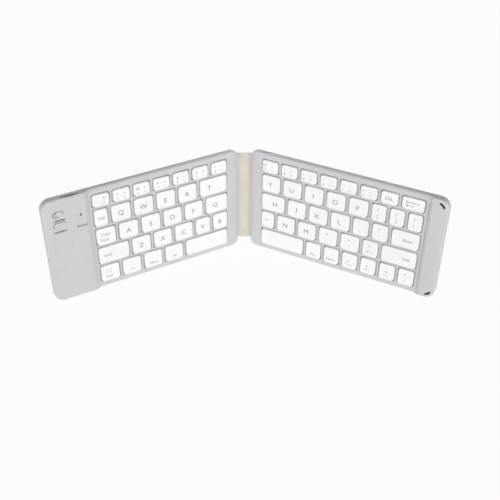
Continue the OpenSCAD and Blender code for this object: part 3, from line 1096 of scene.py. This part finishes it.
@dataclass(frozen=True)
class SocketTongue:
    """The dark insulator that is seen in the mouth of the charging socket."""

    place: HalfPlace
    length: float = 7.2
    height: float = 1.45
    corner: float = 0.4
    corner_steps: int = 6
    set_back: float = 0.2
    depth: float = 0.6
    lip: float = 0.12
    lip_share: float = 0.15

    def build(self) -> Iterator[bpy.types.Object]:
        """Makes a rounded block across the mouth, as a stack of three rounded outlines.

        The first is drawn in by the lip, which ends at a share of the depth.

        Yields:
            The piece.
        """
        socket = self.place.to_flat(vertices_of("usb_socket"))
        low, high = socket.min(0), socket.max(0)
        levels = high[1] - self.set_back - self.depth * np.array([0.0, self.lip_share, 1.0])
        rings = []
        for level, inset in zip(levels, (self.lip, 0.0, 0.0)):
            flat = rounded_outline(
                self.length - 2 * inset, self.height - 2 * inset, self.corner, self.corner_steps
            )
            rings.append(np.insert(flat + (low + high)[[0, 2]] / 2, 1, level, axis=1))
        shell = Shell()
        shell.add(*closed_stack(self.place.to_row(rings)))
        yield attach(shell.piece("socket_tongue", [SOCKET_PLASTIC]), "left_half")


@dataclass(frozen=True)
class BumperArcs:
    """The two curved rubber bumpers in the outer corners of the right strip."""

    place: HalfPlace
    corner: tuple[float, float] = (8.0, 8.0)
    radius: float = 4.65
    width: float = 1.7
    angles: tuple[float, float] = (14.0, 82.0)
    round_over: float = 0.32
    corner_steps: int = 5
    steps: int = 14
    end_power: int = 12
    end_share: float = 0.25
    smooth_below: float = 50.0

    def build(self) -> Iterator[bpy.types.Object]:
        """Makes both arcs, rounded along the top and at their ends.

        A rounded rectangle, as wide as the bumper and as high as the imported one, is
        carried along an arc about the centre of the case's corner. With s from -1 to 1
        along the arc, its width is scaled by the root of 1 - s ** end_power, which is
        close to 1 up to the ends and is held at end_share there.

        Yields:
            The piece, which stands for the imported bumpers.
        """
        packed = self.place.to_flat(vertices_of("bumper_pads"))
        case = self.place.to_flat(vertices_of("right_top_frame"))
        low, high = packed[:, 2].min(), packed[:, 2].max()
        section = rounded_outline(self.width, high - low, self.round_over, self.corner_steps)
        along = np.linspace(-1, 1, self.steps)
        scale = np.clip(np.sqrt(1 - np.abs(along) ** self.end_power), self.end_share, 1.0)
        angle = np.radians(
            self.angles[0] + (along + 1) / 2 * (self.angles[1] - self.angles[0])
        )
        reach = self.radius + scale[:, None] * section[None, :, 0]
        across = case[:, 0].max() - self.corner[0] + reach * np.cos(angle)[:, None]
        rise = self.corner[1] - reach * np.sin(angle)[:, None]
        level = np.broadcast_to(section[None, :, 1] + (low + high) / 2, reach.shape)
        shell = Shell()
        for height in (rise, case[:, 1].max() + case[:, 1].min() - rise):
            shell.add(*closed_stack(self.place.to_row(np.stack([across, height, level], -1))))
        piece = shell.piece("bumper_arcs", [BUMPER_RUBBER], self.smooth_below)
        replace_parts(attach(piece, "right_half"), "bumper_pads")
        yield piece


@dataclass(frozen=True)
class CaseShell:
    """A moulded shell of the case, with its edges softened as a mould leaves them."""

    place: HalfPlace
    part: str
    edge_radius: float = 0.35
    edge_segments: int = 3
    edge_profile: float = 0.5
    flat_degrees: float = 0.4
    sharp_degrees: float = 25.0
    smooth_below: float = 40.0
    merge_mm: float = 0.002
    trimmed_node: str = "right_top_frame"
    slope_width: float = 3.2
    strip_width: float = 12.3
    beak: float = 0.6
    bed_reach: float = 2.0
    bed_slack: float = 0.01

    def trim(self, mesh: bpy.types.Mesh) -> None:
        """Lowers the points that stick out of the slope beside the narrow strip.

        The rounds of the strip's outer corners are wider than the strip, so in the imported
        model they reach past the foot of its slope. The slope is a straight line from
        the bed's height at its foot to the strip's height at its head; points above it
        go down to it, and the tips that lie up to a beak before the foot go back to it.

        Args:
            mesh: The shell's mesh, in metres.
        """
        flat = self.place.to_flat(points_of(mesh))
        foot = flat[:, 0].max() - self.strip_width - self.slope_width
        bed = flat[flat[:, 0] < foot - self.bed_reach, 2].max()
        rise = (flat[:, 2].max() - bed) * np.clip((flat[:, 0] - foot) / self.slope_width, 0, 1)
        flat[:, 2] = np.minimum(flat[:, 2], bed + rise)
        near_foot = (flat[:, 0] > foot - self.beak) & (flat[:, 0] < foot)
        flat[near_foot & (flat[:, 2] > bed - self.bed_slack), 0] = foot
        mesh.vertices.foreach_set("co", self.place.to_row(flat).astype(np.float32).ravel())

    def build(self) -> Iterator[bpy.types.Object]:
        """Copies the shape of the part, joins its triangles and rounds its edges.

        Triangles that lie in one plane become one face, and each edge that turns by more
        than sharp_degrees gets an arc of edge_segments faces.

        Yields:
            The piece, which stands for the part's node.
        """
        node = f"{self.place.side.value}_{self.part}"
        mesh = frame["nodes"][node].data.copy()
        mesh.name = f"{node}_shell"
        mesh.materials.clear()
        if node == self.trimmed_node:
            self.trim(mesh)
        work = bmesh.new()
        work.from_mesh(mesh)
        bmesh.ops.remove_doubles(work, verts=work.verts, dist=self.merge_mm * MM)
        bmesh.ops.dissolve_degenerate(work, dist=self.merge_mm * MM, edges=work.edges)
        bmesh.ops.dissolve_limit(
            work, angle_limit=math.radians(self.flat_degrees), verts=work.verts,
            edges=work.edges,
        )
        sharp = [
            edge for edge in work.edges
            if edge.is_manifold and edge.calc_face_angle() > math.radians(self.sharp_degrees)
        ]
        bmesh.ops.bevel(
            work, geom=sharp, offset=self.edge_radius * MM, segments=self.edge_segments,
            profile=self.edge_profile, affect="EDGES", clamp_overlap=True,
        )
        work.to_mesh(mesh)
        work.free()
        mesh.shade_smooth()
        mesh.set_sharp_from_angle(angle=math.radians(self.smooth_below))
        mesh.materials.append(CASE_SILVER.material())
        piece = placed(mesh.name, mesh)
        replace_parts(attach(piece, self.place.body), node)
        yield piece


@dataclass(frozen=True)
class LeatherHinge:
    """The leather strip, as one sheet from each half to the middle of the spine."""

    place: HalfPlace
    bend_radius: float = 1.2
    bend_steps: int = 9
    glued_steps: int = 6
    spine_steps: int = 5
    edge_share: float = 0.45
    edge_steps: int = 4
    blend_reach: float = 1.4
    smooth_below: float = 50.0

    def path(self, axis: np.ndarray, thickness: float, flap: float) -> np.ndarray:
        """Works out the middle line of the sheet, seen from above.

        It runs along the back of the half, turns through the fold angle on an arc, and
        runs on in the plane of the spine to the middle.

        Args:
            axis: Where the fold's axis stands, as X and Y in metres.
            thickness: The thickness of the leather in metres.
            flap: How far the glued margin reaches past the fold end, in metres.

        Returns:
            Points (N, 2) in metres, as X and Y.
        """
        outward, facing = self.place.outward[:2], self.place.facing[:2]
        inward = np.array([-self.place.side.sign, 0.0])
        radius = self.bend_radius * MM
        half_turn = math.acos(float(np.clip(-outward @ inward, -1, 1))) / 2
        setback = radius * math.tan(half_turn)
        start = self.place.origin[:2] + outward * flap + facing * thickness / 2
        along = np.linspace(0, 1, self.glued_steps)[:, None]
        glued = start + along * (axis + outward * setback - start)
        centre = axis + outward * setback + facing * radius
        sweep = np.linspace(0, 2 * half_turn, self.bend_steps)[1:-1]
        arc = centre + radius * (
            -np.cos(sweep)[:, None] * facing - np.sin(sweep)[:, None] * outward
        )
        middle = np.array([0.0, axis[1]])
        free = axis + inward * setback
        along = np.linspace(0, 1, self.spine_steps)[:, None]
        spine = free + along * (middle - free)
        return np.concatenate([glued, arc, spine])

    def build(self) -> Iterator[bpy.types.Object]:
        """Makes the sheet of one half and bends it across the fold.

        The section is a rounded rectangle as thick as the leather, carried along the
        path and upright, so that each point of it keeps its height.

        Yields:
            The piece, which stands for the margin and the spine.
        """
        side = self.place.side.value
        margin = vertices_of(f"{side}_leather")
        flat = self.place.to_flat(margin)
        thickness = (flat[:, 2].max() - flat[:, 2].min()) * MM
        low, high = margin[:, 2].min(), margin[:, 2].max()
        axis = np.array(fold_joint(self.place.side)["pos_m"])
        path = self.path(axis[:2], thickness, flat[:, 0].max() * MM)
        tangent = np.gradient(path, axis=0)
        tangent /= np.linalg.norm(tangent, axis=1)[:, None]
        across = np.stack([-tangent[:, 1], tangent[:, 0]], -1)
        radius = thickness * self.edge_share
        section = rounded_outline(thickness, high - low, radius, self.edge_steps)
        rings = np.empty((len(path), len(section), 3))
        rings[..., :2] = path[:, None] + across[:, None] * section[None, :, :1]
        rings[..., 2] = section[:, 1] + (low + high) / 2
        shell = Shell()
        shell.add(*closed_stack(rings))
        piece = shell.piece(f"{side}_leather_sheet", [LEATHER], self.smooth_below)
        self.place.body
        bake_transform(piece)
        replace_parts(piece, f"{side}_leather", "spine")
        yield piece


@dataclass(frozen=True)
class PhotoCamera:
    """The camera that took the photograph, found from the rows of keys."""

    place_mm: tuple[float, float, float] = (-9.81, -533.3, 426.62)
    pitch_degrees: float = 37.332
    yaw_degrees: float = 1.487
    roll_degrees: float = 0.503
    focal_pixels: float = 842.7
    image_pixels: float = 500.0
    sensor_mm: float = 36.0
    clip: tuple[float, float] = (0.01, 20.0)

    def build(self) -> Iterator[bpy.types.Object]:
        """Adds the camera and makes it the scene's camera.

        Its three axes are worked out from the yaw about Z, the pitch below the horizon
        and the roll about the view, and become the columns of its matrix.

        Yields:
            The camera object.
        """
        pitch, yaw, roll = np.radians([self.pitch_degrees, self.yaw_degrees, self.roll_degrees])
        ahead = np.array(
            [math.sin(yaw) * math.cos(pitch), math.cos(yaw) * math.cos(pitch), -math.sin(pitch)]
        )
        level = np.array([math.cos(yaw), -math.sin(yaw), 0.0])
        rise = np.cross(level, ahead)
        right = math.cos(roll) * level + math.sin(roll) * rise
        up = -math.sin(roll) * level + math.cos(roll) * rise
        lens = bpy.data.cameras.new("photo_camera")
        lens.sensor_width = self.sensor_mm
        lens.lens = self.focal_pixels / self.image_pixels * self.sensor_mm
        lens.clip_start, lens.clip_end = self.clip
        camera = placed("photo_camera", lens)
        camera.matrix_world = columns(right, up, -ahead, np.array(self.place_mm) * MM)
        bpy.context.scene.camera = camera
        yield camera


@dataclass(frozen=True)
class Lamp:
    """A soft square lamp that looks at the keyboard."""

    name: str
    place: tuple[float, float, float]
    watts: float
    side: float
    aim: tuple[float, float, float] = (0.0, 0.0, 0.045)

    def build(self) -> bpy.types.Object:
        """Adds the lamp, turned so that its -Z axis points at its aim.

        Returns:
            The lamp object.
        """
        data = bpy.data.lights.new(self.name, "AREA")
        data.energy = self.watts
        data.size = self.side
        data.shape = "SQUARE"
        back = np.array(self.place) - np.array(self.aim)
        back /= np.linalg.norm(back)
        across = np.cross([0.0, 0.0, 1.0], back)
        across /= np.linalg.norm(across)
        lamp = placed(self.name, data)
        lamp.matrix_world = columns(across, np.cross(back, across), back, self.place)
        lamp.visible_camera = False
        return lamp


@dataclass(frozen=True)
class Studio:
    """A white table, a pale surround that is darker overhead, and soft lamps."""

    floor_half: float = 3.0
    floor_shade: float = 0.82
    shadow_share: float = 0.05
    sky_low: float = 0.45
    sky_high: float = 0.0
    lamps: tuple[Lamp, ...] = (
        Lamp("front_lamp", (0.0, -1.7, 0.2), 14.0, 0.9),
        Lamp("left_lamp", (-1.34, -1.12, 0.25), 12.5, 0.8),
        Lamp("right_lamp", (1.34, -1.12, 0.25), 14.5, 0.8),
        Lamp("rear_lamp", (0.0, 1.6, 0.25), 19.0, 1.2),
    )

    def build(self) -> Iterator[bpy.types.Object]:
        """Adds the floor, the surround and the lamps.

        Yields:
            The floor and each lamp.
        """
        bpy.context.scene.view_settings.view_transform = "Standard"
        yield self._floor()
        self._surround()
        for lamp in self.lamps:
            yield lamp.build()

    def _seen(self, board: NodeBoard) -> bpy.types.NodeSocket:
        """Finds the rays that show the surroundings, straight, mirrored or seen through.

        Args:
            board: The node tree.

        Returns:
            A socket that is 1 for camera, mirror and see-through rays, and 0 for others.
        """
        rays = board.add("LightPath").outputs
        seen = 0.0
        for kind in ("Camera", "Glossy", "Transmission"):
            highest = board.add(
                "Math", {0: seen, 1: rays[f"Is {kind} Ray"]}, operation="MAXIMUM"
            )
            seen = highest.outputs[0]
        return seen

    def _floor(self) -> bpy.types.Object:
        """Adds the table top, mostly white to the camera, with a faint real shadow.

        Returns:
            The floor object.
        """
        size = self.floor_half
        corners = [(-size, -size, 0), (size, -size, 0), (size, size, 0), (-size, size, 0)]
        mesh = bpy.data.meshes.new("floor")
        mesh.from_pydata(corners, [], [(0, 1, 2, 3)])
        made = bpy.data.materials.new("floor_white")
        board = NodeBoard(made)
        matt = board.add("BsdfDiffuse", {"Color": (*[self.floor_shade] * 3, 1.0)})
        glow = board.add("Emission", {"Strength": 1.0})
        share = board.add(
            "Math", {0: self._seen(board), 1: 1 - self.shadow_share}, operation="MULTIPLY"
        )
        mix = board.add("MixShader", {
            "Fac": share.outputs[0], 1: matt.outputs["BSDF"], 2: glow.outputs["Emission"],
        })
        board.add("OutputMaterial", {"Surface": mix.outputs["Shader"]})
        mesh.materials.append(made)
        floor = placed("floor", mesh)
        return floor

    def _surround(self) -> None:
        """Sets a world that is white where it is seen and darker overhead where it lights."""
        world = bpy.data.worlds.new("surround")
        bpy.context.scene.world = world
        board = NodeBoard(world)
        direction = board.add("SeparateXYZ", {0: board.add("TexCoord").outputs["Generated"]})
        level = board.add("MapRange", {
            "Value": direction.outputs["Z"], "To Min": self.sky_low, "To Max": self.sky_high,
        })
        lit = board.add("Background", {"Color": WHITE, "Strength": level.outputs["Result"]})
        seen = board.add("Background", {"Color": WHITE, "Strength": 1.0})
        mix = board.add("MixShader", {
            "Fac": self._seen(board), 1: lit.outputs["Background"], 2: seen.outputs["Background"],
        })
        board.add("OutputWorld", {"Surface": mix.outputs["Shader"]})


def report(pieces: Iterable[bpy.types.Object]) -> None:
    """Makes the pieces one by one and names each in the log."""
    for piece in pieces:
        log.info("made %s", piece.name)


def main() -> None:
    """Builds the camera, the studio and every piece, in order."""
    logging.basicConfig(level=logging.INFO, format="%(name)s: %(message)s")
    report(PhotoCamera().build())
    report(Studio().build())
    for node, finish in NODE_FINISHES.items():
        finish.dress(frame["nodes"][node])
    for side in Side:
        place = HalfPlace.of(side)
        works = [
            CaseShell(place, "top_frame"), CaseShell(place, "bottom_cover"), KeyField(place),
            KeyWorks(place), LeatherHinge(place),
        ]
        if side is Side.LEFT:
            works += [ControlMarks(place), SocketTongue(place)]
        else:
            works += [BumperArcs(place)]
        for work in works:
            report(work.build())


if __name__ == "__main__":
    main()
